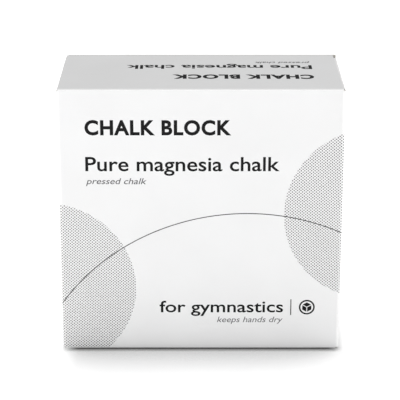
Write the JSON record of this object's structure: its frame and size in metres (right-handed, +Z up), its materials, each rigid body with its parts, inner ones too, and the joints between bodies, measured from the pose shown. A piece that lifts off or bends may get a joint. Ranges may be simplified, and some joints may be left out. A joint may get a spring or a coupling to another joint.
{
  "type": "boxed gymnastics chalk blocks",
  "caption": "Folding carton of gymnastics chalk: hinged tuck lid, dust flaps and snap-lock bottom around a stack of pressed chalk blocks in paper wrappers.",
  "frame": {"origin": "middle of the carton's base, on the surface that it stands on", "axes": "+X to the right along the printed front panel, +Y from the front panel to the back panel, +Z up"},
  "size_m": [0.11, 0.0524, 0.1075],
  "materials": {
    "carton_board": "matte",
    "chalk": "matte",
    "wrapping_paper": "matte",
    "printing_ink": "matte"
  },
  "bodies": {
    "carton": {"front_panel": "carton_board", "back_panel": "carton_board", "left_panel": "carton_board", "right_panel": "carton_board", "glue_flap": "carton_board", "bottom_flap_back": "carton_board", "bottom_flap_left": "carton_board", "bottom_flap_right": "carton_board", "bottom_flap_front": "carton_board", "chalk_block_bottom_front_left": "chalk", "chalk_block_bottom_front_right": "chalk", "chalk_block_bottom_back_left": "chalk", "chalk_block_bottom_back_right": "chalk", "chalk_block_top_front_left": "chalk", "chalk_block_top_front_right": "chalk", "chalk_block_top_back_left": "chalk", "chalk_block_top_back_right": "chalk", "wrapper_bottom_front_left": "wrapping_paper", "wrapper_bottom_front_right": "wrapping_paper", "wrapper_bottom_back_left": "wrapping_paper", "wrapper_bottom_back_right": "wrapping_paper", "wrapper_top_front_left": "wrapping_paper", "wrapper_top_front_right": "wrapping_paper", "wrapper_top_back_left": "wrapping_paper", "wrapper_top_back_right": "wrapping_paper"},
    "lid": {"lid_panel": "carton_board"},
    "lid_tuck": {"lid_tuck_flap": "carton_board"},
    "dust_left": {"dust_flap_left": "carton_board"},
    "dust_right": {"dust_flap_right": "carton_board"}
  },
  "joints": [
    {"name": "lid_hinge", "type": "hinge", "parent": "carton", "child": "lid", "pos_m": [0, -0.02607, 0.10732], "axis": [1, 0, 0], "range_deg": [0, 180]},
    {"name": "dust_left_hinge", "type": "hinge", "parent": "carton", "child": "dust_left", "pos_m": [-0.05482, 0, 0.10682], "axis": [0, -1, 0], "range_deg": [0, 108]},
    {"name": "dust_right_hinge", "type": "hinge", "parent": "carton", "child": "dust_right", "pos_m": [0.05482, 0, 0.10682], "axis": [0, 1, 0], "range_deg": [0, 108]},
    {"name": "lid_tuck_hinge", "type": "hinge", "parent": "lid", "child": "lid_tuck", "pos_m": [0, 0.02532, 0.10732], "axis": [1, 0, 0], "range_deg": [0, 9]}
  ],
  "couplings": [
    {"joint": "dust_left_hinge", "follows": "lid_hinge", "ratio": 0.6},
    {"joint": "dust_right_hinge", "follows": "lid_hinge", "ratio": 0.6},
    {"joint": "lid_tuck_hinge", "follows": "lid_hinge", "ratio": 0.05}
  ]
}
